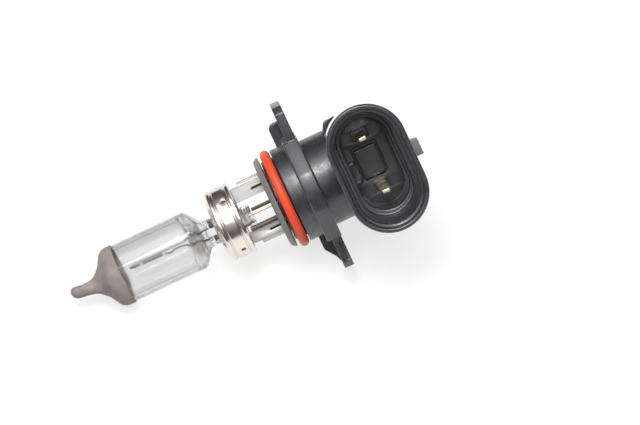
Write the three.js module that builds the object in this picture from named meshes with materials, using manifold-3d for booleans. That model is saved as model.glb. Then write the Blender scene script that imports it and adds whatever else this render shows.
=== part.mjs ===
// Right-angle halogen headlight bulb: a coated glass burner in a metal collar, held by a bracket
// on a moulded plastic base that carries the sealing ring, three seating lugs and the connector.
//
// Frame, in millimetres: X runs along the burner axis towards the glass tip, Z is the direction the
// connector opens, and the origin is on the axis at the lugs' seating face.

import * as THREE from "three";
import { mergeVertices } from "three/addons/utils/BufferGeometryUtils.js";
import Module from "manifold-3d";

const wasm = await Module();
wasm.setup();

// ---------------------------------------------------------------- driving dimensions

const CLEARANCE = 0.25; // between a piece and the slot it passes through
const CUT = 1; // how far a cutter runs past the face it opens

const GLASS = {
  radius: 6.75,
  wall: 0.85,
  tubeFront: 45.2, // where the tube ends and the coated dome begins
  tubeRear: 28.4, // where the tube starts to close onto the pinch
  neckRear: 25.3,
  neckRadius: 3.4,
  tipEnd: 57.4,
  tipRadius: 1.2,
  facets: 36, // around the axis, the same for the glass and its coating
  tipBend: 0.65, // sideways lean of the sealed exhaust tip
};
const COATING = { gap: 0.05, thickness: 0.18 };
const PINCH = { halfWidth: 3, flare: [3.8, 24.2], halfThick: 1.6, shoulder: 16.9, end: 13.3 };
const LEAD = { radius: 0.35, offset: 2 };
const COIL = { front: 40.4, rear: 35.3, radius: 0.5, wire: 0.11, turns: 9, y: -0.2 };
const SUPPORT = { radius: 0.24, offset: 1.1, end: 23.9 };
const FOIL = { width: 1.5, thick: 0.12, front: 23.6, rear: 18.6, offset: 1.6, channel: 0.6 };

const BURNER_OFFSET = -0.35; // the burner is aligned before welding, so it sits just off the base axis
const COLLAR = { front: 22.5, shoulder: 21.4, rear: 16.1, radius: 8.3, wall: 0.35, opening: 4.9 };
const RING = { front: 20.6, rear: 16.5, radius: 7.75, wall: 0.35 };
const LEG = {
  front: 15.9,
  rear: 3.6,
  inner: { upper: 3.15, lower: 3.8 },
  outer: 6.6,
  z: 0.9,
  thick: 0.5,
  tabFront: 14,
  tabWidth: 0.8,
  slotEnd: 11.5,
  slotWidth: 0.6,
};
const SPRING = { halfWidth: 2, thick: 0.35, rear: 16.8, front: 20.4 };
const STRAP = { rear: 3.2, z: 2.3, depth: 0.9 };
const STEEL_STRAP = { y: -1.1, width: 0.75, front: 13.4 };
const BRASS_STRAP = { y: -0.1, width: 0.5, front: 14.6 };
const UPPER_TAB = { x: [13.65, 15.6], y: [-2.45, -0.6], z: [1.85, 2.95], leg: { y: -1.45, z: -0.5 } };
const ROD = { y: 3.0, z: 1.6, radius: 0.62, front: 15.3 };
const LOWER_TAB = { x: [13.5, 14.9], y: [1.95, 3.3], z: [0.5, 0.83] };

const PILOT = { front: 8.8, rear: 7.45, radius: 10.85, chamfer: [0.5, 1.1] };
const SPIGOT = { front: 7.2, radius: 9.35 };
const SEAL = { x: 5.7, ring: 10.5, cord: 1.1 };
const NECK = { front: 4.36, radius: 11 };
const BORE = { radius: 8, floor: -4 };
const FLANGE = { front: 1.1, rear: -2.4, radius: 12.9 };
const FACET = 11.9; // distance from the axis of the flange's straight sides
const LUG = { thick: 2.16, reach: { upper: 19.8, lower: 19.1, rear: 19.1 }, halfWidth: 7.4, corner: 1.5 };
const NOTCH = { front: -0.95, y: [13, 17.9], depth: 1.2 }; // in the lower lug's connector-side edge
const RAMP = { height: 2.5, z: [-5.9, -3.7], upperEnd: 15.8, lowerEnd: 18.9 };
const BODY = { radius: 10.15, rear: -8.6 };

const SHROUD = {
  x: -15.3,
  bottom: -9.8,
  top: 21,
  rim: 1.5,
  lip: 1.1, // depth of the step inside the rim
  outer: [7.6, 13.2], // half sizes along X and Y
  foot: [7.3, 10.2],
  flare: [8.8, 14.5],
  lipHalf: [7.7, 13.4],
  mouth: [6.8, 12.5],
  ledgeOuter: [6.3, 11.8],
  ledge: 11.5,
  wellX: -15.45,
  well: [5.3, 10.5],
  floor: 3,
};
const LATCH = { top: 15.5, bottom: 10.5, lip: 14.3, reach: -25.9, halfWidth: 1.9 };
const KEY = { y: [-1.4, 2.8], reach: 1.6, halfThick: 0.4, top: 8 };
const BLADE = { x: -15.2, y: 6.26, width: 2.1, thick: 0.8, tip: 13 };
const ARM = { front: 3, halfHeight: 1.05, tabHeight: 2.8 };
const POCKET = { margin: [0.75, 0.7], depth: 1.2 }; // round each blade, in the socket floor
const INSERT = { x: -14.9, half: [2.55, 3.35], top: 4.3, bottom: -2, gap: 0.45 };

// ---------------------------------------------------------------- solids from three.js shapes

function solid(geometry) {
  const g = geometry.index ? geometry.toNonIndexed() : geometry.clone();
  g.deleteAttribute("normal");
  g.deleteAttribute("uv");
  const merged = mergeVertices(g, 1e-4);
  return new wasm.Manifold(
    new wasm.Mesh({
      numProp: 3,
      vertProperties: merged.attributes.position.array,
      triVerts: new Uint32Array(merged.index.array),
    }),
  );
}

function geometryOf(body) {
  const m = body.getMesh();
  const g = new THREE.BufferGeometry();
  g.setAttribute("position", new THREE.BufferAttribute(new Float32Array(m.vertProperties), 3));
  g.setIndex(new THREE.BufferAttribute(new Uint32Array(m.triVerts), 1));
  const flat = g.toNonIndexed();
  flat.computeVertexNormals();
  return flat;
}

const join = (...bodies) => bodies.reduce((a, b) => a.add(b));
const cut = (body, ...tools) => tools.reduce((a, b) => a.subtract(b), body);

function box([x0, x1], [y0, y1], [z0, z1]) {
  const g = new THREE.BoxGeometry(x1 - x0, y1 - y0, z1 - z0);
  return solid(g.translate((x0 + x1) / 2, (y0 + y1) / 2, (z0 + z1) / 2));
}

// A profile of [x, radius] points turned about the X axis. Its order doesn't matter.
function latheGeometry(profile, segments = 40) {
  const area = profile.reduce((sum, [x, r], i) => {
    const [nx, nr] = profile[(i + 1) % profile.length];
    return sum + r * nx - nr * x;
  }, 0);
  const closed = [...profile, profile[0]];
  const ordered = area > 0 ? closed : closed.reverse();
  const points = ordered.map(([x, r]) => new THREE.Vector2(r, x));
  return new THREE.LatheGeometry(points, segments).rotateZ(-Math.PI / 2);
}

const lathe = (profile, segments) => solid(latheGeometry(profile, segments));

function tube([x0, x1], outer, inner, segments) {
  return lathe([[x0, inner], [x1, inner], [x1, outer], [x0, outer]], segments);
}

function rod([x0, x1], radius, y, z, segments = 16) {
  const g = new THREE.CylinderGeometry(radius, radius, x1 - x0, segments);
  return solid(g.rotateZ(-Math.PI / 2).translate((x0 + x1) / 2, y, z));
}

// An outline of [x, y] points raised along Z.
function raised(points, [z0, z1]) {
  const shape = new THREE.Shape(points.map(([x, y]) => new THREE.Vector2(x, y)));
  const g = new THREE.ExtrudeGeometry(shape, { depth: z1 - z0, bevelEnabled: false });
  return solid(g.translate(0, 0, z0));
}

// An outline of [y, z] points raised along X.
function slab(points, [x0, x1]) {
  const shape = new THREE.Shape(points.map(([y, z]) => new THREE.Vector2(y, z)));
  const g = new THREE.ExtrudeGeometry(shape, { depth: x1 - x0, bevelEnabled: false });
  const turn = new THREE.Matrix4().makeBasis(
    new THREE.Vector3(0, 1, 0),
    new THREE.Vector3(0, 0, 1),
    new THREE.Vector3(1, 0, 0),
  );
  return solid(g.applyMatrix4(turn).translate(x0, 0, 0));
}

// An outline of [x, z] points raised along Y.
function sideProfile(points, [y0, y1]) {
  const shape = new THREE.Shape(points.map(([x, z]) => new THREE.Vector2(x, z)));
  const g = new THREE.ExtrudeGeometry(shape, { depth: y1 - y0, bevelEnabled: false });
  return solid(g.rotateX(Math.PI / 2).translate(0, y1, 0));
}

// A stadium post along Z whose half sizes run from bottom to top.
function stadium(x, [hx0, hy0], [hx1, hy1], [z0, z1], arcSteps = 14) {
  const straight = hy1 - hx1;
  const shape = new THREE.Shape();
  shape.absarc(0, straight, hx1, 0, Math.PI);
  shape.absarc(0, -straight, hx1, Math.PI, 2 * Math.PI);
  const outline = shape.getPoints(arcSteps);
  const g = new THREE.ExtrudeGeometry(new THREE.Shape(outline), {
    depth: z1 - z0,
    bevelEnabled: false,
  });
  const p = g.attributes.position;
  for (let i = 0; i < p.count; i++) {
    if (p.getZ(i) < (z1 - z0) / 2) p.setXY(i, (p.getX(i) * hx0) / hx1, (p.getY(i) * hy0) / hy1);
  }
  return solid(g.translate(x, 0, z0));
}

// A round wire along a smooth path through [x, y, z] points.
function wire(points, radius, { steps = 30, sides = 8, tension = 0.5 } = {}) {
  const corners = points.map((p) => new THREE.Vector3(...p));
  const path = new THREE.CatmullRomCurve3(corners, false, "catmullrom", tension);
  const section = new THREE.Shape();
  section.absarc(0, 0, radius, 0, 2 * Math.PI);
  const round = new THREE.Shape(section.getPoints(sides / 2).slice(0, -1));
  const g = new THREE.ExtrudeGeometry(round, { steps, extrudePath: path, curveSegments: sides });
  return solid(g);
}

// ---------------------------------------------------------------- burner

// Half-outline of the dome and the exhaust tip, from the tube to the sealed end.
function domeProfile(offset) {
  const { radius, tubeFront, tipEnd, tipRadius } = GLASS;
  const dome = new THREE.CatmullRomCurve3(
    [
      [tubeFront, radius],
      [tubeFront + 1.7, radius - 0.05],
      [tubeFront + 3.0, radius - 0.65],
      [tubeFront + 3.9, radius - 2.0],
      [tubeFront + 4.9, radius - 3.5],
      [tubeFront + 6.9, tipRadius + 0.4],
      [tubeFront + 9.2, tipRadius],
    ].map(([x, r]) => new THREE.Vector3(x, r + offset, 0)),
  );
  const end = tipEnd + offset;
  const cap = tipRadius + offset;
  const rounded = [0, 30, 60].map((deg) => {
    const a = THREE.MathUtils.degToRad(deg);
    return [end - cap * (1 - Math.sin(a)), cap * Math.cos(a)];
  });
  return [...dome.getPoints(11).map((p) => [p.x, p.y]), ...rounded, [end, 0]];
}

// The sealed exhaust tip leans a little to one side.
function lean(geometry) {
  const start = GLASS.tubeFront + 5;
  const p = geometry.attributes.position;
  for (let i = 0; i < p.count; i++) {
    const s = Math.max(0, (p.getX(i) - start) / (GLASS.tipEnd - start));
    p.setY(i, p.getY(i) - GLASS.tipBend * s * s);
  }
  return geometry;
}

function pinchOutline() {
  const { halfWidth: w, flare, shoulder, end } = PINCH;
  return [
    [GLASS.neckRear + 1.5, -flare[0]],
    [GLASS.neckRear + 1.5, flare[0]],
    [flare[1], w],
    [shoulder, w],
    [shoulder - 1.0, 2.3],
    [end, 1.1],
    [end, 0.3],
    [shoulder - 1.2, -1.2],
    [shoulder, -w],
    [flare[1], -w],
  ];
}

// The foil, the buried end of each lead and the lead's way out share a straight channel in the pinch.
function leadChannel(side) {
  const y = side * FOIL.offset;
  const half = FOIL.width / 2 + CLEARANCE;
  return box([PINCH.end, GLASS.neckRear + 1.3], [y - half, y + half], [-FOIL.channel, FOIL.channel]);
}

function glassEnvelope() {
  const { radius, wall, tubeRear, neckRear, neckRadius, tubeFront } = GLASS;
  const shoulderSteps = [0, 0.25, 0.5, 0.75, 1];
  const shoulder = (r0, r1, x0, x1) =>
    shoulderSteps.map((s) => {
      const a = (s * Math.PI) / 2;
      return [x1 + (x0 - x1) * Math.sin(a), r1 + (r0 - r1) * (1 - Math.cos(a))];
    });
  const outer = [[neckRear, 0], ...shoulder(neckRadius, radius, neckRear, tubeRear).reverse()];
  const outside = solid(lean(latheGeometry([...outer, ...domeProfile(0)], GLASS.facets)));
  const r = radius - wall;
  const inner = [
    [neckRear + 1.2, 0],
    ...shoulder(neckRadius - wall, r, neckRear + 1.2, tubeRear + 0.3).reverse(),
    [tubeFront + 1.4, r],
    [tubeFront + 2.8, r - 1.4],
    [tubeFront + 4.2, 1.4],
    [tubeFront + 5.6, 0.5],
    [tubeFront + 5.8, 0],
  ];
  const pinch = raised(pinchOutline(), [-PINCH.halfThick, PINCH.halfThick]);
  return cut(join(outside, pinch), lathe(inner, GLASS.facets), leadChannel(-1), leadChannel(1));
}

// The coating covers the dome and the tip, down to the end of the tube.
function tipCoating() {
  const inner = domeProfile(COATING.gap);
  const outer = domeProfile(COATING.gap + COATING.thickness);
  return solid(lean(latheGeometry([...outer, ...inner.reverse()], GLASS.facets)));
}

function filamentCoil() {
  const { front, rear, radius, wire: thick, turns, y } = COIL;
  const perTurn = 10;
  const points = [];
  for (let i = 0; i <= turns * perTurn; i++) {
    const a = (i / perTurn) * 2 * Math.PI;
    const x = rear + ((front - rear) * i) / (turns * perTurn);
    points.push([x, y + radius * Math.cos(a), radius * Math.sin(a)]);
  }
  return wire(points, thick, { steps: turns * perTurn, sides: 6 });
}

// The long support runs past the coil and hooks back onto its front end.
function longSupport() {
  const points = [
    [SUPPORT.end, -SUPPORT.offset, 0],
    [26.9, -SUPPORT.offset, 0],
    [28.7, -0.75, -1.5],
    [30.4, -0.45, -2.4],
    [36.0, -0.45, -2.4],
    [41.4, -0.45, -2.4],
    [42.9, -0.4, -1.6],
    [43.2, -0.3, -0.4],
    [42.0, COIL.y, 0],
    [40.85, COIL.y, 0],
  ];
  return wire(points, SUPPORT.radius, { steps: 40 });
}

function shortSupport() {
  const points = [
    [SUPPORT.end, SUPPORT.offset, 0],
    [26.8, SUPPORT.offset, 0],
    [28.3, 0.6, -0.1],
    [29.8, 0.1, -0.1],
    [32.4, -0.05, -0.1],
    [33.6, 0.25, 0.05],
    [34.9, COIL.y, 0],
  ];
  return wire(points, SUPPORT.radius, { steps: 26 });
}

function foil(side) {
  const y = side * FOIL.offset;
  const half = FOIL.width / 2;
  return box([FOIL.rear, FOIL.front], [y - half, y + half], [-FOIL.thick / 2, FOIL.thick / 2]);
}

function outerLead(side, end) {
  return rod([end, FOIL.rear - CLEARANCE], LEAD.radius, side * LEAD.offset, 0, 12);
}

// ---------------------------------------------------------------- collar and bracket

// A pressed sleeve with a rolled rear bead and a slightly domed front.
function burnerCollar() {
  const { front, shoulder, rear, radius, wall, opening } = COLLAR;
  const profile = [
    [rear, radius + 0.12],
    [rear + 0.75, radius + 0.12],
    [rear + 0.95, radius - 0.12],
    [rear + 1.25, radius],
    [shoulder - 1.3, radius],
    [shoulder - 1.05, radius - 0.18],
    [shoulder - 0.8, radius],
    [shoulder - 0.15, radius],
    [shoulder + 0.1, radius - 0.3],
    [shoulder + 0.7, radius - 1.7],
    [front, opening],
    [front - wall, opening],
    [shoulder + 0.35, radius - 1.8],
    [shoulder - 0.4, radius - wall],
    [rear, radius - wall],
  ];
  return lathe(profile);
}

const bracketRing = () => tube([RING.rear, RING.front], RING.radius, RING.radius - RING.wall);

// A spring strip stands on the bracket ring and lies along the wide face of the pinch.
function pinchSpring(side) {
  const { halfWidth, thick, rear, front } = SPRING;
  const seat = PINCH.halfThick + CLEARANCE;
  const reach = RING.radius - RING.wall - 3 * CLEARANCE;
  const profile = [
    [rear, seat],
    [front, seat],
    [front, reach],
    [front - thick, reach],
    [front - thick, seat + thick],
    [rear, seat + thick],
  ].map(([x, z]) => [x, side * z]);
  return sideProfile(side > 0 ? profile : profile.reverse(), [-halfWidth, halfWidth]);
}

// Each leg is a slotted strip with a set-back tab folded along its outer edge.
function bracketLeg(side) {
  const { front, rear, outer, z, thick, tabFront, tabWidth, slotEnd, slotWidth } = LEG;
  const inner = side > 0 ? LEG.inner.lower : LEG.inner.upper;
  const y = (a, b) => (side > 0 ? [a, b] : [-b, -a]);
  const strip = box([rear, front], y(inner, outer), [z - thick, z]);
  const fold = box([rear, tabFront], y(outer - 0.4, outer), [z - 2 * thick, z]);
  const tab = box([rear, tabFront], y(outer - 0.4, outer + tabWidth), [z - 2 * thick, z - thick]);
  const middle = (inner + outer) / 2;
  const slot = box(
    [PILOT.front - 2, slotEnd],
    y(middle - slotWidth / 2, middle + slotWidth / 2),
    [z - thick - CUT, z + CUT],
  );
  return cut(join(strip, fold, tab), slot);
}

const legSlot = (side) => {
  const inner = side > 0 ? LEG.inner.lower : LEG.inner.upper;
  const span = [inner - CLEARANCE, LEG.outer + LEG.tabWidth + CLEARANCE];
  const y = side > 0 ? span : [-span[1], -span[0]];
  const z = [LEG.z - 2 * LEG.thick - CLEARANCE, LEG.z + CLEARANCE];
  return box([PILOT.rear - CUT, PILOT.front + CUT], y.map((v) => v + BURNER_OFFSET), z);
};

// ---------------------------------------------------------------- current path

function strap({ y, width, front }) {
  const half = STRAP.depth / 2;
  return box([STRAP.rear, front], [y - width / 2, y + width / 2], [STRAP.z - half, STRAP.z + half]);
}

const lowerWeldTab = () => box(LOWER_TAB.x, LOWER_TAB.y, LOWER_TAB.z);

// The upper tab bridges the strap and the lead: a block with a leg down beside the pinched glass.
function upperWeldTab() {
  const { x, y, z, leg } = UPPER_TAB;
  return join(box(x, y, z), box(x, [y[0], leg.y], [leg.z, z[1]]));
}
const leadRod = () => rod([STRAP.rear, ROD.front], ROD.radius, ROD.y, ROD.z);

// A terminal is one stamping: the blade in the socket, the arm through the base and the weld tab.
function terminal(side) {
  const { x, y, width, thick, tip } = BLADE;
  const span = (a, b) => (side > 0 ? [a, b] : [-b, -a]);
  const acrossY = span(y - thick / 2, y + thick / 2);
  const left = x - width / 2;
  const right = x + width / 2;
  const chamfer = 0.25;
  const flat = sideProfile(
    [
      [left, -ARM.halfHeight],
      [ARM.front, -ARM.halfHeight],
      [ARM.front, ARM.halfHeight],
      [right, ARM.halfHeight],
      [right, tip - chamfer],
      [right - chamfer, tip],
      [left + chamfer, tip],
      [left, tip - chamfer],
    ],
    acrossY,
  );
  const tabReach = side > 0 ? ROD.y - ROD.radius : -(BRASS_STRAP.y + BRASS_STRAP.width / 2);
  const weld = box([ARM.front - thick, ARM.front], span(tabReach, y), [-ARM.halfHeight, ARM.tabHeight]);
  return join(flat, weld);
}

function pottingSeal() {
  const plug = tube([BORE.floor + CLEARANCE, 1.2], BORE.radius - CLEARANCE, 0);
  return cut(plug, armSlot(-1), armSlot(1));
}

function armSlot(side) {
  const half = BLADE.thick / 2 + CLEARANCE;
  const y = side * BLADE.y;
  const height = ARM.halfHeight + CLEARANCE;
  const left = BLADE.x - BLADE.width / 2 - CLEARANCE;
  return box([left, ARM.front], [y - half, y + half], [-height, height]);
}

// ---------------------------------------------------------------- base

function pilotDisc() {
  const { front, rear, radius, chamfer } = PILOT;
  const disc = lathe([
    [rear, 0],
    [rear, radius],
    [front - chamfer[0], radius],
    [front, radius - chamfer[1]],
    [front, 0],
  ]);
  const x = [rear - CUT, front + CUT];
  const z = STRAP.depth / 2 + CLEARANCE;
  const y0 = STEEL_STRAP.y - STEEL_STRAP.width / 2 - CLEARANCE;
  const y1 = BRASS_STRAP.y + BRASS_STRAP.width / 2 + CLEARANCE;
  const strapSlot = box(x, [y0, y1], [STRAP.z - z, STRAP.z + z]);
  const rodHole = rod(x, ROD.radius + CLEARANCE, ROD.y, ROD.z);
  return cut(disc, legSlot(-1), legSlot(1), strapSlot, rodHole);
}

function oRing() {
  const sides = 12;
  const section = Array.from({ length: sides }, (_, i) => {
    const a = (i / sides) * 2 * Math.PI;
    return [SEAL.x + SEAL.cord * Math.cos(a), SEAL.ring + SEAL.cord * Math.sin(a)];
  });
  return lathe(section, 48);
}

// The flange: round at the front, with a flat facet each side that runs out to the lug.
function flangeOutline() {
  const { radius } = FLANGE;
  const arcEnd = 20;
  const front = [];
  for (let deg = -arcEnd; deg <= arcEnd; deg += 5) {
    const a = THREE.MathUtils.degToRad(deg);
    front.push([-radius * Math.sin(a), radius * Math.cos(a)]);
  }
  const w = LUG.halfWidth;
  return [
    [FACET, w],
    ...front.reverse().map(([y, z]) => [-y, z]),
    [-FACET, w],
    [-FACET, -w],
    [-w, -FACET],
    [w, -FACET],
    [FACET, -w],
  ];
}

// A lug that reaches out along its own Y axis, turned about X.
function lug(turn, reach) {
  const { thick, halfWidth: w, corner } = LUG;
  const root = FACET - 4;
  const outline = [
    [root, -w],
    [reach - corner, -w],
    [reach, corner - w],
    [reach, w - corner],
    [reach - corner, w],
    [root, w],
  ].map(([y, z]) => {
    const v = new THREE.Vector2(y, z).rotateAround(new THREE.Vector2(), turn);
    return [v.x, v.y];
  });
  return slab(outline, [-thick, 0]);
}

// Stiffening ramps on the seating side of the two side lugs, on the half away from the connector.
function lugRamps() {
  const { height, z, upperEnd, lowerEnd } = RAMP;
  const [root, buried] = [10, -0.5];
  const upper = [
    [buried, -upperEnd],
    [height - 0.8, -upperEnd],
    [height, 0.9 - upperEnd],
    [height, -root],
    [buried, -root],
  ];
  const lower = [
    [buried, root],
    [height, root],
    [height, lowerEnd - 4],
    [0.6, lowerEnd - 1.4],
    [0.1, lowerEnd],
    [buried, lowerEnd],
  ];
  return join(raised(upper, z), raised(lower, z));
}

// The latch nib that the harness plug clips over, on the far wall of the shroud.
function latchNib() {
  const { top, bottom, lip, reach, halfWidth } = LATCH;
  const wall = SHROUD.x - SHROUD.outer[0];
  const outline = [
    [wall + 1, bottom],
    [wall + 1, top],
    [reach, top],
    [reach, lip],
    [wall - 0.3, bottom],
  ];
  return sideProfile(outline, [-halfWidth, halfWidth]);
}

// A small hooked gusset stands on the rear corner of the case, just clear of the shroud.
function gusset() {
  const outline = [
    [-7.6, -9],
    [-9.2, -11.8],
    [-12.1, -12],
    [-10.2, -10.9],
    [-9.1, -9.8],
    [-8.4, -9],
  ];
  return raised(outline, [-1, 1]);
}

function baseOutside() {
  const neck = lathe([
    [BODY.rear, 0],
    [BODY.rear, BODY.radius - 1],
    [BODY.rear + 1, BODY.radius],
    [FLANGE.rear, BODY.radius],
    [FLANGE.rear, NECK.radius],
    [NECK.front - 0.25, NECK.radius],
    [NECK.front, NECK.radius - 0.25],
    [NECK.front, SPIGOT.radius],
    [SPIGOT.front, SPIGOT.radius],
    [SPIGOT.front, 0],
  ]);
  const flange = slab(flangeOutline(), [FLANGE.rear, FLANGE.front]);
  const { upper, lower, rear } = LUG.reach;
  const edge = LUG.halfWidth;
  const notch = box([-LUG.thick - CUT, NOTCH.front], NOTCH.y, [edge - NOTCH.depth, edge + CUT]);
  const lugs = [cut(lug(0, lower), notch), lug(Math.PI, upper), lug(-Math.PI / 2, rear)];
  const s = SHROUD;
  const post = join(
    stadium(s.x, s.foot, s.outer, [s.bottom, s.top - s.rim]),
    stadium(s.x, s.outer, s.flare, [s.top - 2 * s.rim, s.top - s.rim]),
    stadium(s.x, s.flare, s.flare, [s.top - s.rim, s.top]),
  );
  return join(neck, flange, ...lugs, lugRamps(), post, latchNib(), gusset());
}

function bladePocket(side) {
  const half = [BLADE.width / 2 + POCKET.margin[0], BLADE.thick / 2 + POCKET.margin[1]];
  const y = side * BLADE.y;
  const pocket = box(
    [BLADE.x - half[0], BLADE.x + half[0]],
    [y - half[1], y + half[1]],
    [SHROUD.floor - POCKET.depth, SHROUD.floor + CUT],
  );
  const left = BLADE.x - BLADE.width / 2 - CLEARANCE;
  const right = BLADE.x + BLADE.width / 2 + CLEARANCE;
  const slotHalf = BLADE.thick / 2 + CLEARANCE;
  return join(pocket, box([left, right], [y - slotHalf, y + slotHalf], [-1, SHROUD.floor]));
}

function baseInside() {
  const s = SHROUD;
  const bore = lathe([
    [BORE.floor, 0],
    [BORE.floor, BORE.radius],
    [SPIGOT.front + CUT, BORE.radius],
    [SPIGOT.front + CUT, 0],
  ]);
  const [hx, hy] = INSERT.half.map((h) => h + INSERT.gap);
  const pocketZ = [INSERT.bottom - CLEARANCE, s.floor + CUT];
  const insertPocket = box([INSERT.x - hx, INSERT.x + hx], [-hy, hy], pocketZ);
  return [
    bore,
    stadium(s.x, s.lipHalf, s.lipHalf, [s.top - s.lip, s.top + CUT]),
    stadium(s.x, s.ledgeOuter, s.mouth, [s.ledge, s.top - s.lip / 2]),
    stadium(s.wellX, s.well, s.well, [s.floor, s.ledge + CUT]),
    insertPocket,
    ...[-1, 1].flatMap((side) => [armSlot(side), bladePocket(side)]),
  ];
}

// Two short ribs in the socket key the mating plug.
function keyRibs() {
  const { halfThick, reach, top } = KEY;
  const wall = SHROUD.wellX + SHROUD.well[0];
  const x = [wall - reach, wall + 0.5];
  return KEY.y.map((y) => box(x, [y - halfThick, y + halfThick], [SHROUD.floor - 0.5, top]));
}

const baseHousing = () => join(cut(baseOutside(), ...baseInside()), ...keyRibs());

function lockInsert() {
  const [hx, hy] = INSERT.half;
  return raised(
    [
      [INSERT.x - hx, -hy],
      [INSERT.x + hx, -hy],
      [INSERT.x + hx, hy],
      [INSERT.x - hx, hy],
    ],
    [INSERT.bottom, INSERT.top],
  );
}

// ---------------------------------------------------------------- materials

function material(color, roughness, metalness, extra = {}) {
  return new THREE.MeshStandardMaterial({ color, roughness, metalness, ...extra });
}

const LOOKS = {
  glass: material(0xe6ecee, 0.04, 0, { transparent: true, opacity: 0.35 }),
  coating: material(0x8c7f7b, 0.75, 0),
  tungsten: material(0x6e6b68, 0.45, 0.9),
  molybdenum: material(0x9a9894, 0.35, 0.9),
  nickel: material(0xcfc8bf, 0.22, 1),
  steel: material(0xb9b9b6, 0.3, 1),
  brass: material(0xd9c886, 0.3, 1),
  plastic: material(0x2f2f32, 0.42, 0),
  greyPlastic: material(0x6d6d6c, 0.5, 0),
  rubber: material(0xe8452c, 0.45, 0),
  resin: material(0x24221f, 0.35, 0),
};

function piece(name, body, look, y = 0) {
  const mesh = new THREE.Mesh(geometryOf(body), LOOKS[look]);
  mesh.name = name;
  mesh.position.y = y;
  return mesh;
}

// ---------------------------------------------------------------- assembly

const burner = new THREE.Group();
burner.add(
  piece("glass_envelope", glassEnvelope(), "glass"),
  piece("tip_coating", tipCoating(), "coating"),
  piece("filament_coil", filamentCoil(), "tungsten"),
  piece("long_filament_support", longSupport(), "molybdenum"),
  piece("short_filament_support", shortSupport(), "molybdenum"),
  piece("upper_foil", foil(-1), "molybdenum"),
  piece("lower_foil", foil(1), "molybdenum"),
  piece("upper_outer_lead", outerLead(-1, 15.8), "molybdenum"),
  piece("lower_outer_lead", outerLead(1, LOWER_TAB.x[0]), "molybdenum"),
);

const mounting = new THREE.Group();
mounting.position.y = BURNER_OFFSET;
mounting.add(
  piece("burner_collar", burnerCollar(), "nickel"),
  piece("bracket_ring", bracketRing(), "steel"),
  piece("front_pinch_spring", pinchSpring(1), "steel"),
  piece("rear_pinch_spring", pinchSpring(-1), "steel"),
  piece("upper_bracket_leg", bracketLeg(-1), "steel"),
  piece("lower_bracket_leg", bracketLeg(1), "steel"),
);

const wiring = new THREE.Group();
wiring.add(
  piece("upper_weld_tab", upperWeldTab(), "steel"),
  piece("lower_weld_tab", lowerWeldTab(), "steel"),
  piece("steel_lead_strap", strap(STEEL_STRAP), "steel"),
  piece("brass_lead_strap", strap(BRASS_STRAP), "brass"),
  piece("lower_lead_rod", leadRod(), "steel"),
  piece("upper_terminal", terminal(-1), "brass"),
  piece("lower_terminal", terminal(1), "brass"),
);

const base = new THREE.Group();
base.add(
  piece("base_housing", baseHousing(), "plastic"),
  piece("pilot_disc", pilotDisc(), "greyPlastic"),
  piece("sealing_ring", oRing(), "rubber"),
  piece("potting_seal", pottingSeal(), "resin"),
  piece("terminal_lock_insert", lockInsert(), "plastic"),
);

const bulb = new THREE.Group();
bulb.name = "headlight_bulb";
bulb.add(burner, mounting, wiring, base);

export default bulb;
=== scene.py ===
# Looks for the headlight bulb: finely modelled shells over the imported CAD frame, on a pale studio floor.
# Shapes are worked out in millimetres in the row frame (X towards the glass tip, Z out of the connector)
# and stored in metres.

import math

import bpy
from mathutils import Matrix, Vector
from mathutils.geometry import tessellate_polygon


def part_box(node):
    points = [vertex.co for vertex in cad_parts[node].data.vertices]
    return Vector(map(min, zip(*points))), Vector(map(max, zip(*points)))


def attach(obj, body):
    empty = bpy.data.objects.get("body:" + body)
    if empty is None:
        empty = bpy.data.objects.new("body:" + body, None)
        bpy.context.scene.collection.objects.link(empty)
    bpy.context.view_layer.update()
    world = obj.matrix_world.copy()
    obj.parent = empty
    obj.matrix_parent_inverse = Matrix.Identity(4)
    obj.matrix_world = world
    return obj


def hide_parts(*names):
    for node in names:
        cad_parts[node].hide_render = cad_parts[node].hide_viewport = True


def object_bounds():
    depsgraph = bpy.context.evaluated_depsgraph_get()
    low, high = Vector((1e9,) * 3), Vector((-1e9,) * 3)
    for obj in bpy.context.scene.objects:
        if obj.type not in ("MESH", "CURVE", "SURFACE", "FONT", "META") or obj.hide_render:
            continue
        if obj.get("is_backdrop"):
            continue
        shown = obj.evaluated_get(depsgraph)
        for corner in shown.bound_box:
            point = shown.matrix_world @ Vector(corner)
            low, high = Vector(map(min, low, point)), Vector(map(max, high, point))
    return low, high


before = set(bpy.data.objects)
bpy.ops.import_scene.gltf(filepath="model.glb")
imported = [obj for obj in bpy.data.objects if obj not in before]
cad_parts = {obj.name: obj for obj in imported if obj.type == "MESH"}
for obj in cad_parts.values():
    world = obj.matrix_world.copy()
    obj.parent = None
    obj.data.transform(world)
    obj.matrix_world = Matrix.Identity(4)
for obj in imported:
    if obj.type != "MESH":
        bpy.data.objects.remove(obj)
CAD_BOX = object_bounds()
MM = 0.001
BODY = "root"


def box_mm(node):
    """A CAD node's lowest and highest corners, in millimetres."""
    low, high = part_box(node)
    return low / MM, high / MM


# ---------------------------------------------------------------- outlines and profiles


def soften(points, radius, steps=4, closed=False):
    """A polyline with its corners rounded. Works on points of any dimension."""
    pts = [Vector(p) for p in points]
    n = len(pts)
    out = []
    for i, p in enumerate(pts):
        if not closed and i in (0, n - 1):
            out.append(p)
            continue
        a, b = pts[i - 1] - p, pts[(i + 1) % n] - p
        reach = min(radius, 0.48 * a.length, 0.48 * b.length)
        start, end = p + a.normalized() * reach, p + b.normalized() * reach
        for k in range(steps + 1):
            t = k / steps
            out.append(start * (1 - t) ** 2 + p * (2 * t * (1 - t)) + end * t**2)
    return out


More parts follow.
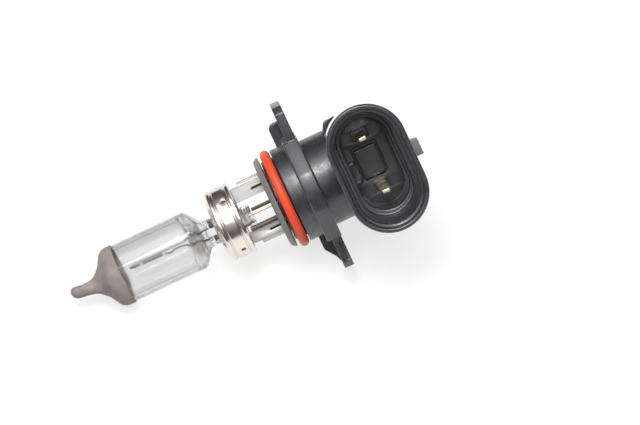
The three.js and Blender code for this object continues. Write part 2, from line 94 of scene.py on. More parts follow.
def arc(cx, cy, radius, start, end, steps):
    """Points of a circular arc, with its angles in degrees."""
    angles = [math.radians(start + (end - start) * k / steps) for k in range(steps + 1)]
    return [(cx + radius * math.cos(a), cy + radius * math.sin(a)) for a in angles]


def rectangle(u0, u1, v0, v1, radius=0.0, steps=4):
    corners = [(u0, v0), (u1, v0), (u1, v1), (u0, v1)]
    return soften(corners, radius, steps, closed=True) if radius else corners


def slot_outline(u0, u1, v0, v1, steps=8):
    """A rectangle whose two ends along u are half round."""
    r = (v1 - v0) / 2
    mid = (v0 + v1) / 2
    return arc(u1 - r, mid, r, -90, 90, steps) + arc(u0 + r, mid, r, 90, 270, steps)


def area_of(points):
    return 0.5 * sum(
        p[0] * points[(i + 1) % len(points)][1] - p[1] * points[(i + 1) % len(points)][0]
        for i, p in enumerate(points)
    )


def inset(points, distance):
    """The outline moved to its left by a distance."""
    out = []
    n = len(points)
    for i, p in enumerate(points):
        p = Vector(p)
        before = (p - Vector(points[i - 1])).normalized()
        after = (Vector(points[(i + 1) % n]) - p).normalized()
        left = Vector((-before.y - after.y, before.x + after.x))
        half = left.length / 2
        out.append(p + left.normalized() * distance / max(half, 0.5) if half > 1e-6 else p)
    return out


# ---------------------------------------------------------------- surfaces, as (points, faces)


def loft(rings, wrap=False, caps=(True, True)):
    """Skins rings of equal length. wrap joins the last ring to the first."""
    n = len(rings[0])
    points = [p for ring in rings for p in ring]
    faces = []
    spans = len(rings) if wrap else len(rings) - 1
    for k in range(spans):
        a, b = k * n, ((k + 1) % len(rings)) * n
        faces += [(a + i, a + (i + 1) % n, b + (i + 1) % n, b + i) for i in range(n)]
    if not wrap and caps[0]:
        faces.append(tuple(range(n))[::-1])
    if not wrap and caps[1]:
        faces.append(tuple(range(len(points) - n, len(points))))
    return points, faces


def ring_about_x(x, radius, count, y=0.0):
    turn = [2 * math.pi * i / count for i in range(count)]
    return [Vector((x, y + radius * math.cos(a), radius * math.sin(a))) for a in turn]


def revolve(profile, count=112, y=0.0, wrap=False):
    """Turns a profile of (x, radius) points about the X axis."""
    rings = [ring_about_x(x, max(r, 1e-3), count, y) for x, r in profile]
    return loft(rings, wrap)


def plate(outlines, low, high, bevel, place, steps=3):
    """A flat plate with holes and rounded edges. outlines[0] is its edge, the others are holes.
    place turns (u, v, height) into a point."""
    loops = []
    for k, outline in enumerate(outlines):
        ccw = area_of(outline) > 0
        loops.append(list(outline) if ccw == (k == 0) else list(outline)[::-1])
    levels = []
    for s in range(steps + 1):
        a = math.pi / 2 * s / steps
        levels.append((bevel * (1 - math.sin(a)), low + bevel * (1 - math.cos(a))))
    levels += [(d, low + high - h) for d, h in reversed(levels)]
    points, faces = [], []
    caps = {0: [], len(levels) - 1: []}
    for loop in loops:
        start = len(points)
        n = len(loop)
        for k, (d, h) in enumerate(levels):
            moved = inset(loop, d)
            points += [place(p[0], p[1], h) for p in moved]
            if k in caps:
                caps[k].append((start + k * n, moved))
        for k in range(len(levels) - 1):
            a, b = start + k * n, start + (k + 1) * n
            faces += [(a + i, a + (i + 1) % n, b + (i + 1) % n, b + i) for i in range(n)]
    for k, loops_here in caps.items():
        index = [first + i for first, loop in loops_here for i in range(len(loop))]
        polygons = [[Vector((p[0], p[1], 0)) for p in loop] for _, loop in loops_here]
        for tri in tessellate_polygon(polygons):
            a, b, c = (index[i] for i in tri)
            up = (points[b] - points[a]).cross(points[c] - points[a])
            outward = place(0, 0, 1) - place(0, 0, 0)
            good = (up.dot(outward) > 0) == (k > 0)
            faces.append((a, b, c) if good else (a, c, b))
    return points, faces


def sweep(path, radius, sides):
    """A round wire along a path, with its section carried without twist and square ends."""
    path = [Vector(p) for p in path]
    tangents = []
    for i in range(len(path)):
        step = path[min(i + 1, len(path) - 1)] - path[max(i - 1, 0)]
        tangents.append(step.normalized())
    side = tangents[0].orthogonal().normalized()
    rings = []
    for p, t in zip(path, tangents):
        side = (side - t * side.dot(t)).normalized()
        up = t.cross(side)
        turn = [2 * math.pi * k / sides for k in range(sides)]
        rings.append([p + side * radius * math.cos(a) + up * radius * math.sin(a) for a in turn])
    return loft(rings)


def smooth_path(points, per_span=8):
    """A Catmull-Rom curve through the points."""
    pts = [Vector(p) for p in points]
    pts = [2 * pts[0] - pts[1]] + pts + [2 * pts[-1] - pts[-2]]
    out = []
    for i in range(1, len(pts) - 2):
        a, b, c, d = pts[i - 1 : i + 3]
        for k in range(per_span):
            t = k / per_span
            out.append(
                0.5 * (2 * b + (c - a) * t + (2 * a - 5 * b + 4 * c - d) * t**2
                       + (3 * b - a - 3 * c + d) * t**3)
            )
    return out + [pts[-2]]


def merged(*surfaces):
    points, faces = [], []
    for p, f in surfaces:
        start = len(points)
        points += p
        faces += [tuple(i + start for i in face) for face in f]
    return points, faces


def moved(surface, change):
    points, faces = surface
    return [change(p) for p in points], faces


along_x = lambda u, v, h: Vector((h, u, v))
along_y = lambda u, v, h: Vector((u, -h, v))
along_z = lambda u, v, h: Vector((u, v, h))


# ---------------------------------------------------------------- materials


class Nodes:
    """A short way to write a node tree."""

    def __init__(self, material):
        material.use_nodes = True
        self.tree = material.node_tree
        self.tree.nodes.clear()

    def add(self, kind, **settings):
        node = self.tree.nodes.new(kind)
        for key, value in settings.items():
            if key in node.inputs:
                node.inputs[key].default_value = value
            else:
                setattr(node, key, value)
        return node

    def link(self, source, target):
        self.tree.links.new(source, target)

    def noise(self, scale, detail=4.0, roughness=0.55, stretch=(1, 1, 1)):
        place = self.add("ShaderNodeTexCoord")
        mapping = self.add("ShaderNodeMapping")
        mapping.inputs["Scale"].default_value = stretch
        self.link(place.outputs["Object"], mapping.inputs["Vector"])
        noise = self.add("ShaderNodeTexNoise", Scale=scale, Detail=detail, Roughness=roughness)
        self.link(mapping.outputs["Vector"], noise.inputs["Vector"])
        return noise.outputs["Fac"]

    def ramp(self, value, low, high, span=(0.3, 0.7)):
        """A value between two numbers or two colours, following a noise."""
        colours = isinstance(low, (tuple, list))
        node = self.add("ShaderNodeValToRGB") if colours else self.add("ShaderNodeMapRange")
        if colours:
            first, last = node.color_ramp.elements
            first.position, last.position = span
            first.color, last.color = (*low, 1), (*high, 1)
            self.link(value, node.inputs["Fac"])
            return node.outputs["Color"]
        for name, number in zip(("From Min", "From Max", "To Min", "To Max"), (*span, low, high)):
            node.inputs[name].default_value = number
        self.link(value, node.inputs["Value"])
        return node.outputs["Result"]

    def blend(self, amount, under, over):
        """Lays a plain colour over another by an amount from a pattern."""
        node = self.add("ShaderNodeMix", data_type="RGBA")
        node.inputs["B"].default_value = (*over, 1)
        self.link(amount, node.inputs["Factor"])
        self.link(under, node.inputs["A"])
        return node.outputs["Result"]

    def edges(self, width):
        """1 along sharp edges, 0 on flats and on smooth curves."""
        soft = self.add("ShaderNodeBevel", samples=6, Radius=width * MM)
        real = self.add("ShaderNodeNewGeometry")
        match = self.add("ShaderNodeVectorMath", operation="DOT_PRODUCT")
        self.link(soft.outputs["Normal"], match.inputs[0])
        self.link(real.outputs["True Normal"], match.inputs[1])
        return self.ramp(match.outputs["Value"], 1.0, 0.0, span=(0.86, 0.97))

    def bump(self, value, strength, distance, under=None):
        node = self.add("ShaderNodeBump", Strength=strength, Distance=distance)
        self.link(value, node.inputs["Height"])
        if under is not None:
            self.link(under, node.inputs["Normal"])
        return node.outputs["Normal"]


def shaded(colour, amount):
    return tuple(min(1.0, max(0.0, c * amount)) for c in colour)


def finish_material(
    name, colour, roughness, metallic=0.0, vary=0.12, rough_span=0.08, grain=900.0, bump=0.25,
    depth=0.00002, stretch=(1, 1, 1), edge=0.0, painted_edge_colour=None, dust=None, **sockets,
):
    """A solid surface: mottled colour, uneven gloss, fine grain, softened edges and specks of dust.
    painted_edge_colour is painted along sharp edges: a painted highlight on the black plastic, painted dark
    shade on the bracket steel."""
    material = bpy.data.materials.new(name)
    n = Nodes(material)
    out = n.add("ShaderNodeOutputMaterial")
    shader = n.add("ShaderNodeBsdfPrincipled", Metallic=metallic, **sockets)
    base = n.ramp(n.noise(grain * 0.18, 3.0), shaded(colour, 1 - vary), shaded(colour, 1 + vary))
    if dust:
        specks = n.ramp(n.noise(grain * 2.2, 1.5, 0.5), 0.0, 1.0, span=(0.72, 0.78))
        base = n.blend(specks, base, dust)
    # painted light along sharp edges: a painted highlight on the black plastic, painted shade on the
    # bracket steel
    if painted_edge_colour:
        base = n.blend(n.edges(0.16), base, painted_edge_colour)
    n.link(base, shader.inputs["Base Color"])
    uneven = n.noise(grain * 0.45, 5.0, 0.6, stretch)
    n.link(n.ramp(uneven, roughness - rough_span, roughness + rough_span), shader.inputs["Roughness"])
    fine = n.noise(grain, 3.0, 0.6, stretch)
    soft = None
    if edge:
        soft = n.add("ShaderNodeBevel", samples=6, Radius=edge * MM).outputs["Normal"]
    n.link(n.bump(fine, bump, depth, soft), shader.inputs["Normal"])
    n.link(shader.outputs["BSDF"], out.inputs["Surface"])
    return material


# (slant, clearness) of the glass: its grey, with a thin dark line of painted shade near the edge, where the
# wall is seen end on.
GLASS_TINT_AND_PAINTED_LINE = [(0.0, 0.89), (0.585, 0.88), (0.605, 0.0), (0.645, 0.0), (0.665, 0.88)]


def glass_material():
    """Clear glass that lets the light through to the filament and the floor."""
    material = bpy.data.materials.new("clear_glass")
    n = Nodes(material)
    out = n.add("ShaderNodeOutputMaterial")
    glass = n.add("ShaderNodeBsdfPrincipled", Metallic=0.0, Roughness=0.0, IOR=1.47)
    glass.inputs["Transmission Weight"].default_value = 1.0
    ripple = n.noise(120.0, 2.0)
    n.link(n.bump(ripple, 0.05, 0.0002), glass.inputs["Normal"])
    clear = n.add("ShaderNodeBsdfTransparent")
    slant = n.add("ShaderNodeLayerWeight", Blend=0.5)
    # painted shade: by slant, the glass's grey turns dark in a thin line near its edge
    tint_and_painted_line = n.add("ShaderNodeValToRGB")
    bands = tint_and_painted_line.color_ramp
    while len(bands.elements) < len(GLASS_TINT_AND_PAINTED_LINE):
        bands.elements.new(0.5)
    for element, (position, grey) in zip(bands.elements, GLASS_TINT_AND_PAINTED_LINE):
        element.position = position
        element.color = (grey, grey, grey, 1)
    n.link(slant.outputs["Facing"], tint_and_painted_line.inputs["Fac"])
    n.link(tint_and_painted_line.outputs["Color"], glass.inputs["Base Color"])
    # painted shade: by slant, the see-through part darkens towards the edge
    rim = n.ramp(slant.outputs["Facing"], (0.84, 0.84, 0.845), (0.04, 0.04, 0.04), span=(0.6, 0.9))
    n.link(rim, clear.inputs["Color"])
    ray = n.add("ShaderNodeLightPath")
    veil = n.add("ShaderNodeMath", operation="MAXIMUM")
    veil.inputs[1].default_value = 0.25
    n.link(ray.outputs["Is Shadow Ray"], veil.inputs[0])
    mix = n.add("ShaderNodeMixShader")
    n.link(veil.outputs["Value"], mix.inputs["Fac"])
    n.link(glass.outputs["BSDF"], mix.inputs[1])
    n.link(clear.outputs["BSDF"], mix.inputs[2])
    n.link(mix.outputs["Shader"], out.inputs["Surface"])
    return material


MATERIALS = {
    "clear_glass": glass_material(),
    "tip_coating": finish_material(
        "tip_coating", (0.31, 0.258, 0.245), 0.6, vary=0.2, grain=1400.0, bump=0.4, depth=0.00003
    ),
    "tungsten": finish_material("tungsten", (0.2, 0.19, 0.18), 0.45, 0.85, grain=2500.0),
    "molybdenum": finish_material(
        "molybdenum", (0.2, 0.19, 0.18), 0.4, 0.9, grain=2200.0, stretch=(0.15, 1, 1)
    ),
    "collar_nickel": finish_material(
        "collar_nickel", (0.74, 0.68, 0.63), 0.19, 1.0, vary=0.08, rough_span=0.1, grain=700.0,
        bump=0.22, stretch=(1, 0.12, 0.12),
    ),
    "bracket_steel": finish_material(
        "bracket_steel", (0.88, 0.87, 0.86), 0.4, 1.0, vary=0.06, grain=1100.0, bump=0.15,
        # painted shade: dark lines along the edges of the steel
        stretch=(0.12, 1, 1), edge=0.12, painted_edge_colour=(0.1, 0.1, 0.1),
    ),
    "dark_steel": finish_material(
        "dark_steel", (0.13, 0.11, 0.09), 0.45, 0.6, vary=0.2, grain=1200.0, stretch=(0.15, 1, 1)
    ),
    "terminal_brass": finish_material(
        "terminal_brass", (0.92, 0.86, 0.6), 0.36, 1.0, vary=0.08, grain=1500.0, bump=0.15
    ),
    "black_plastic": finish_material(
        "black_plastic", (0.026, 0.026, 0.032), 0.33, vary=0.15, rough_span=0.1, grain=1500.0,
        # painted highlight: light lines along the edges of the plastic
        bump=0.3, depth=0.00003, edge=0.16, painted_edge_colour=(0.16, 0.16, 0.17), dust=(0.28, 0.28, 0.28),
        **{"Specular IOR Level": 0.95, "Sheen Weight": 0.12, "Sheen Roughness": 0.35},
    ),
    "grey_plastic": finish_material(
        "grey_plastic", (0.2, 0.2, 0.2), 0.4, vary=0.1, grain=1500.0, bump=0.22, edge=0.1
    ),
    "seal_rubber": finish_material(
        "seal_rubber", (0.9, 0.08, 0.025), 0.42, vary=0.06, grain=1000.0, bump=0.12
    ),
    "potting_resin": finish_material("potting_resin", (0.02, 0.019, 0.017), 0.25, grain=500.0),
}


def piece(name, surface, slot, *nodes, sharp=35):
    """Makes a piece in metres that stands for CAD nodes and rides on the bulb."""
    points, faces = surface
    mesh = bpy.data.meshes.new(name)
    mesh.from_pydata([p * MM for p in points], [], faces)
    mesh.update()
    mesh.polygons.foreach_set("use_smooth", [True] * len(mesh.polygons))
    mesh.set_sharp_from_angle(angle=math.radians(sharp))
    mesh.materials.append(MATERIALS[slot])
    obj = bpy.data.objects.new(name, mesh)
    bpy.context.scene.collection.objects.link(obj)
    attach(obj, BODY)
    if nodes:
        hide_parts(*nodes)
    return obj


# ---------------------------------------------------------------- burner

GLASS_LOW, GLASS_HIGH = box_mm("glass_envelope")
COAT_LOW, COAT_HIGH = box_mm("tip_coating")
TUBE_RADIUS = GLASS_HIGH.z
TUBE_FRONT = COAT_LOW.x
TUBE_REAR = 28.2
WALL = 0.85
TIP_RADIUS = 1.2
TIP_BEND = 0.65
PINCH_HALF = (3.0, 1.6)  # half width along Y and half thickness along Z
PINCH_SHOULDER = 16.9
PINCH_FRONT = 24.4  # where the pinch starts to swell into the tube


def lean(p):
    """The sealed exhaust tip leans a little to one side."""
    start = TUBE_FRONT + 5
    s = max(0.0, (p.x - start) / (GLASS_HIGH.x - start))
    return Vector((p.x, p.y - TIP_BEND * s * s, p.z))


def dome_profile(offset, end):
    """(x, radius) points from the tube over the dome to the sealed end."""
    r = TUBE_RADIUS
    knots = [
        (TUBE_FRONT, r), (TUBE_FRONT + 1.7, r - 0.05), (TUBE_FRONT + 3.0, r - 0.65),
        (TUBE_FRONT + 3.9, r - 2.0), (TUBE_FRONT + 4.9, r - 3.5),
        (TUBE_FRONT + 6.9, TIP_RADIUS + 0.4), (TUBE_FRONT + 9.2, TIP_RADIUS),
    ]
    curve = smooth_path([(x, q + offset, 0) for x, q in knots], 6)
    cap = TIP_RADIUS + offset
    nose = [
        (end - cap + cap * math.sin(a), cap * math.cos(a))
        for a in (math.pi / 2 * k / 8 for k in range(8))
    ]
    return [(p.x, p.y) for p in curve] + nose + [(end, 0)]


def flattened_ring(x, half_y, half_z, power, count):
    """A ring between a circle (power 2) and a rounded bar (higher powers)."""
    ring = []
    for i in range(count):
        a = 2 * math.pi * i / count
        c, s = math.cos(a), math.sin(a)
        ring.append(
            Vector((x, math.copysign(abs(c) ** (2 / power), c) * half_y,
                    math.copysign(abs(s) ** (2 / power), s) * half_z))
        )
    return ring


def hump(distance, width):
    """A rounded rise: 1 at no distance, falling away over its width."""
    return math.exp(-((distance / width) ** 2))


def pinch_relief(p):
    """Ridges, a ring and two dimples that the pinching jaws leave on each wide face."""
    if abs(p.z) < 1.2 or p.x > 24.6:
        return p
    ridge = hump(abs(p.y) - 2.3, 0.25) * 0.3
    ring = hump(math.hypot(p.x - 23.6, p.y + 1.7) - 0.7, 0.2) * 0.35
    pits = sum(hump(math.hypot(p.x - 24.2, p.y - y), 0.4) for y in (-0.6, 1.1)) * 0.6
    return Vector((p.x, p.y, p.z + math.copysign(ridge + ring - pits, p.z)))


def glass_envelope():
    count = 96
    rings = []
    end = GLASS_LOW.x
    for k in range(6):  # the pinch tapers to its broken-off end
        t = k / 5
        x = end + (PINCH_SHOULDER - 1 - end) * t
        rings.append([p + Vector((0, 0.7 * (1 - t), 0)) for p in flattened_ring(
            x, 0.5 + 1.6 * t, 0.9 + 0.6 * t, 5, count)])
    for k in range(3):
        t = (k + 1) / 3
        rings.append(flattened_ring(PINCH_SHOULDER - 1 + t, 2.1 + 0.9 * t, 1.5 + 0.1 * t, 6, count))
    steps = 36
    for k in range(1, steps + 1):
        x = PINCH_SHOULDER + (PINCH_FRONT - PINCH_SHOULDER) * k / steps
        rings.append([pinch_relief(p) for p in flattened_ring(x, *PINCH_HALF, 6, count)])
    for k in range(1, 25):  # the shoulder swells from the pinch to the round tube
        t = k / 24
        wide = min(1.0, 1.08 * t)
        swell = math.sin(t * math.pi / 2) ** 0.9
        rise = wide * wide * (3 - 2 * wide)
        power = 6 - 4 * min(1, 1.6 * t)
        rings.append(
            flattened_ring(
                PINCH_FRONT + (TUBE_REAR - PINCH_FRONT) * t,
                PINCH_HALF[0] + (TUBE_RADIUS - PINCH_HALF[0]) * rise,
                PINCH_HALF[1] + (TUBE_RADIUS - PINCH_HALF[1]) * swell, power, count,
            )
        )
    for x, r in [(TUBE_REAR + 0.6, TUBE_RADIUS)] + dome_profile(0, GLASS_HIGH.x):
        rings.append([lean(p) for p in ring_about_x(x, max(r, 0.01), count)])
    outside = loft(rings)
    inner_radius = TUBE_RADIUS - WALL
    cavity = soften(
        [(26.6, 0.02), (26.9, 3.0), (28.6, inner_radius), (46.6, inner_radius),
         (48.2, 4.6), (49.6, 1.3), (51.4, 0.4), (51.6, 0.02)], 1.4, 6)
    inside = loft([ring_about_x(x, r, 72)[::-1] for x, r in cavity])
    return merged(outside, inside)


def tip_coating():
    outer = dome_profile(0.2, COAT_HIGH.x)
    inner = dome_profile(-0.06, COAT_HIGH.x - 0.3)
    profile = outer[:-1] + [(COAT_HIGH.x, 0.01), (COAT_HIGH.x - 0.3, 0.01)] + inner[:-1][::-1]
    return moved(revolve(profile, 96, wrap=True), lean)


def filament_coil():
    low, high = box_mm("filament_coil")
    turns, per_turn, radius, wire = 15, 20, 0.32, 0.09
    y = (low.y + high.y) / 2
    path = []
    for i in range(turns * per_turn + 1):
        a = 2 * math.pi * i / per_turn
        x = low.x + 0.15 + (high.x - low.x - 0.3) * i / (turns * per_turn)
        path.append((x, y + radius * math.cos(a), radius * math.sin(a)))
    return sweep(path, wire, 8)


SUPPORT_RADIUS = 0.22


def support_wire(knots):
    return sweep(smooth_path(knots), SUPPORT_RADIUS, 14)


def long_support():
    knots = [
        (23.9, -1.1, 0), (26.9, -1.1, 0), (28.7, -0.75, -1.5), (30.4, -0.45, -2.4), (36, -0.45, -2.4),
        (41.4, -0.45, -2.4), (42.9, -0.4, -1.6), (43.2, -0.3, -0.4), (42, -0.2, 0), (40.85, -0.2, 0),
    ]
    return support_wire(knots)


def short_support():
    knots = [
        (23.9, 1.1, 0), (26.8, 1.1, 0), (28.3, 0.6, -0.1), (29.8, 0.1, -0.1), (32.4, -0.05, -0.1),
        (33.6, 0.25, 0.05), (34.9, -0.2, 0),
    ]
    return support_wire(knots)


def foil(node):
    """A thin strip of foil with feathered long edges and a slight cockle."""
    low, high = box_mm(node)
    middle = (low.y + high.y) / 2
    rings = []
    for k in range(25):
        x = low.x + (high.x - low.x) * k / 24
        wave = 0.05 * math.sin(k * 1.3)
        half = (high.y - low.y) / 2
        rings.append([
            Vector((x, middle - half, wave)), Vector((x, middle, wave - 0.05)),
            Vector((x, middle + half, wave)), Vector((x, middle, wave + 0.05)),
        ])
    return loft(rings)


def round_bar(node):
    """A straight round wire or rod along X, with rounded ends."""
    low, high = box_mm(node)
    y, z = (low.y + high.y) / 2, (low.z + high.z) / 2
    r = (high.z - low.z) / 2
    profile = soften([(low.x, 0.01), (low.x, r), (high.x, r), (high.x, 0.01)], 0.15, 5)
    return moved(revolve(profile, 28), lambda p: p + Vector((0, y, z)))


# ---------------------------------------------------------------- collar and bracket


WELD_SPOTS = [(18.2, 49), (18.5, 138), (18.3, 270)]  # (x, degrees from -Y towards +Z)
WELD_MARK = (0.62, 0.46)  # half sizes of a heat-tinted oval, along X and round the collar
WELD_DIMPLE = (0.75, 1.0)  # the same for the dimple round it
BEAD = 0.12  # how far the collar's wall lies inside its largest radius


def weld_marks():
    """Heat-tinted ovals where the collar is spot-welded to the ring inside it."""
    low, high = box_mm("burner_collar")
    middle = (low.y + high.y) / 2
    r = high.z - BEAD
    marks = []
    for x, angle in WELD_SPOTS:
        oval = [(WELD_MARK[0] * u, WELD_MARK[1] * v) for u, v in arc(0, 0, 1, 0, 360, 24)[:-1]]

        def place(u, v, h, x=x, start=math.radians(angle)):
            turn = start + v / r
            return Vector((x + u, middle - (r + h) * math.cos(turn), (r + h) * math.sin(turn)))

        marks.append(plate([oval], -0.3, -0.06, 0.03, place))
    return merged(*marks)


def burner_collar():
    low, high = box_mm("burner_collar")
    y = (low.y + high.y) / 2
    r = high.z - BEAD
    rear, front = low.x, high.x
    shoulder = front - 1.1
    outer = [
        (front, 4.9), (shoulder + 0.75, r - 1.7), (shoulder + 0.15, r - 0.3), (shoulder - 0.1, r),
        (shoulder - 0.75, r), (shoulder - 0.95, r - 0.3), (shoulder - 1.15, r - 0.3),
        (shoulder - 1.35, r - 0.02), (rear + 1.4, r - 0.02), (rear + 1.2, r - 0.32),
        (rear + 0.95, r - 0.32), (rear + 0.75, r + 0.1), (rear + 0.12, r + 0.1), (rear, r),
    ]
    inner = [(rear, r - 0.4), (shoulder - 0.35, r - 0.5), (shoulder + 0.3, r - 1.8), (front - 0.35, 4.9)]
    profile = [(p.x, p.y) for p in soften(outer + inner, 0.16, 3, closed=True)]

    def dimpled(p):
        """Spot-weld dimples, and the slight ovality of a pressed sleeve."""
        radius = math.hypot(p.y, p.z)
        if radius < r - 0.6:
            return p + Vector((0, y, 0))
        turn = math.degrees(math.atan2(p.z, -p.y)) % 360
        push = 0.02 * math.cos(math.radians(2 * turn))
        for x, angle in WELD_SPOTS:
            away = math.radians((turn - angle + 180) % 360 - 180) * radius
            d = math.hypot((p.x - x) / WELD_DIMPLE[0], away / WELD_DIMPLE[1])
            push -= 0.1 * math.exp(-(d**4)) * (d < 2)
        scale = (radius + push) / radius
        return Vector((p.x, y + p.y * scale, p.z * scale))

    dense = []
    for (x0, r0), (x1, r1) in zip(profile, profile[1:] + profile[:1]):
        pieces = max(1, round(abs(x1 - x0) / 0.2))
        dense += [(x0 + (x1 - x0) * k / pieces, r0 + (r1 - r0) * k / pieces) for k in range(pieces)]
    return moved(revolve(dense, 224, wrap=True), dimpled)


def bracket_ring():
    low, high = box_mm("bracket_ring")
    y = (low.y + high.y) / 2
    r = high.z
    corners = [(low.x, r - 0.35), (high.x, r - 0.35), (high.x, r), (low.x, r)]
    return revolve([tuple(p) for p in soften(corners, 0.1, 3, closed=True)], 112, y, wrap=True)


def pinch_spring(node):
    """A bent strip from the bracket ring down to the wide face of the pinch."""
    low, high = box_mm(node)
    side = 1 if high.z > 0 else -1
    near, far = (low.z, high.z) if side > 0 else (-high.z, -low.z)
    thick = 0.35
    centre = soften([(low.x, near + thick / 2), (high.x - thick / 2, near + thick / 2),
                     (high.x - thick / 2, far)], 0.6, 5)
    strip = ribbon(centre, thick, side)
    return plate([strip], low.y, high.y, 0.08, lambda u, v, h: Vector((u, h, v)))


def ribbon(line, thick, side):
    """The closed outline of a strip of that thickness along a line."""
    left, right = [], []
    for i, p in enumerate(line):
        step = (line[min(i + 1, len(line) - 1)] - line[max(i - 1, 0)]).normalized()
        normal = Vector((-step.y, step.x)) * thick / 2
        left.append(p + normal)
        right.append(p - normal)
    return [(p.x, side * p.y) for p in left + right[::-1]]


LEG_SLOT = {"rear": 2.5, "front": 11.5, "half": 0.25}
LEG_TAB = 0.8  # how far the folded tab stands out from the strip


def bracket_leg(node):
    """A slotted strip of plated steel with a set-back tab along its outer edge."""
    low, high = box_mm(node)
    side = 1 if high.y > 0 else -1
    outer = high.y if side > 0 else -low.y
    inner = low.y if side > 0 else -high.y
    thick, tab_front, bevel = 0.5, 14.0, 0.04
    top = high.z
    strip_edge = outer - LEG_TAB
    flip = lambda u, v, h: Vector((u, side * v, h))
    strip = soften(
        [(low.x, inner), (high.x, inner), (high.x, strip_edge), (low.x, strip_edge)], 0.35, 4, closed=True)
    middle = (inner + strip_edge) / 2
    half = LEG_SLOT["half"]
    hole = slot_outline(low.x + LEG_SLOT["rear"], LEG_SLOT["front"], middle - half, middle + half)
    face = plate([strip, hole], top - thick, top, bevel, flip)
    fold = rectangle(low.x, tab_front, strip_edge - 0.42, outer, 0.15)
    back = plate([fold], top - 2 * thick, top - thick + 0.02, bevel, flip)
    surface = merged(face, back)
    if side < 0:
        points, faces = surface
        surface = points, [f[::-1] for f in faces]
    return surface


def slot_shade_strip(node):
    """A dark strip behind the slot of a leg: painted shade that makes the slot look dark."""
    low, high = box_mm(node)
    side = 1 if high.y > 0 else -1
    middle = (low.y + high.y - side * LEG_TAB) / 2
    half = LEG_SLOT["half"] + 0.25
    rear, front = low.x + LEG_SLOT["rear"] - 0.3, LEG_SLOT["front"] + 0.3
    outline = slot_outline(rear, front, middle - half, middle + half)
    return plate([outline], high.z - 0.75, high.z - 0.45, 0.05, along_z)


# ---------------------------------------------------------------- current path


def bar(node, bevel=0.1):
    """A straight flat bar along X with rounded edges."""
    low, high = box_mm(node)
    outline = rectangle(low.y, high.y, low.z, high.z, 0.12, 3)
    return plate([outline], low.x, high.x, bevel, along_x)


UPPER_TAB_LEG_Y = -1.45  # how far the leg of the upper tab reaches across
UPPER_TAB_PAD_Z = 1.85  # the underside of its pad


def weld_tab_outline(low, high):
    if high.z - low.z < 1:
        return rectangle(low.y, high.y, low.z, high.z, 0.3, 4)
    corners = [
        (low.y, low.z), (UPPER_TAB_LEG_Y, low.z), (UPPER_TAB_LEG_Y, UPPER_TAB_PAD_Z),
        (high.y, UPPER_TAB_PAD_Z), (high.y, high.z), (low.y, high.z),
    ]
    return soften(corners, 0.3, 4, closed=True)


def weld_tab(node):
    """A block whose middle is squeezed by the welding tips. The upper one has a leg beside the glass."""
    low, high = box_mm(node)
    middle = (low + high) / 2
    rings = []
    outline = weld_tab_outline(low, high)
    for k in range(13):
        t = k / 12
        x = low.x + (high.x - low.x) * t
        squeeze = 1 - 0.22 * math.exp(-(((t - 0.45) / 0.18) ** 2)) - 0.25 * (abs(2 * t - 1) ** 8)
        rings.append([
            Vector((x, middle.y + (p[0] - middle.y) * squeeze, middle.z + (p[1] - middle.z) * squeeze))
            for p in outline
        ])
    return loft(rings)


def terminal(node):
    """One flat stamping: the blade with its chamfered tip, the arm and the weld tab."""
    low, high = box_mm(node)
    side = 1 if low.y + high.y > 0 else -1
    thick, width, arm = 0.8, 2.1, 1.05
    blade_y = (high.y - thick / 2) if side > 0 else (low.y + thick / 2)
    left, right = low.x, low.x + width
    outline = soften(
        [(left, -arm), (high.x, -arm), (high.x, arm), (right, arm), (right, high.z - 0.25),
         (right - 0.25, high.z), (left + 0.25, high.z), (left, high.z - 0.25)], 0.1, 3, closed=True)
    flat = plate([outline], -blade_y - thick / 2, -blade_y + thick / 2, 0.08, along_y)
    tab_y = (low.y, blade_y) if side > 0 else (blade_y, high.y)
    tab = plate([rectangle(*tab_y, -arm, 2.8, 0.2, 3)], high.x - thick, high.x, 0.1, along_x)
    return merged(flat, tab)


# ---------------------------------------------------------------- base

PILOT_LOW, PILOT_HIGH = box_mm("pilot_disc")
HOUSING_LOW, HOUSING_HIGH = box_mm("base_housing")
NECK_RADIUS, NECK_FRONT = 11.0, 4.36
SPIGOT_RADIUS = 9.35
BORE_RADIUS, BORE_FLOOR = 8.0, -4.0
FLANGE_FRONT, FLANGE_REAR, FLANGE_RADIUS = 1.1, -2.4, 12.9
FACET = 11.9
LUG_THICK, LUG_HALF, LUG_CORNER = 2.16, 7.4, 1.5
UPPER_REACH, LOWER_REACH = -HOUSING_LOW.y, HOUSING_HIGH.y
CASE_RADIUS, CASE_REAR = 10.15, -8.6
SHROUD_X = -15.3
RIM_TOP = HOUSING_HIGH.z
WELL_X = -15.45
WELL = (5.3, 10.5)
WELL_FLOOR = 3.0
LEDGE = 11.5
BLADE = {"x": -15.2, "y": 6.26}
INSERT_X, INSERT_HALF = -14.9, (2.55, 3.35)


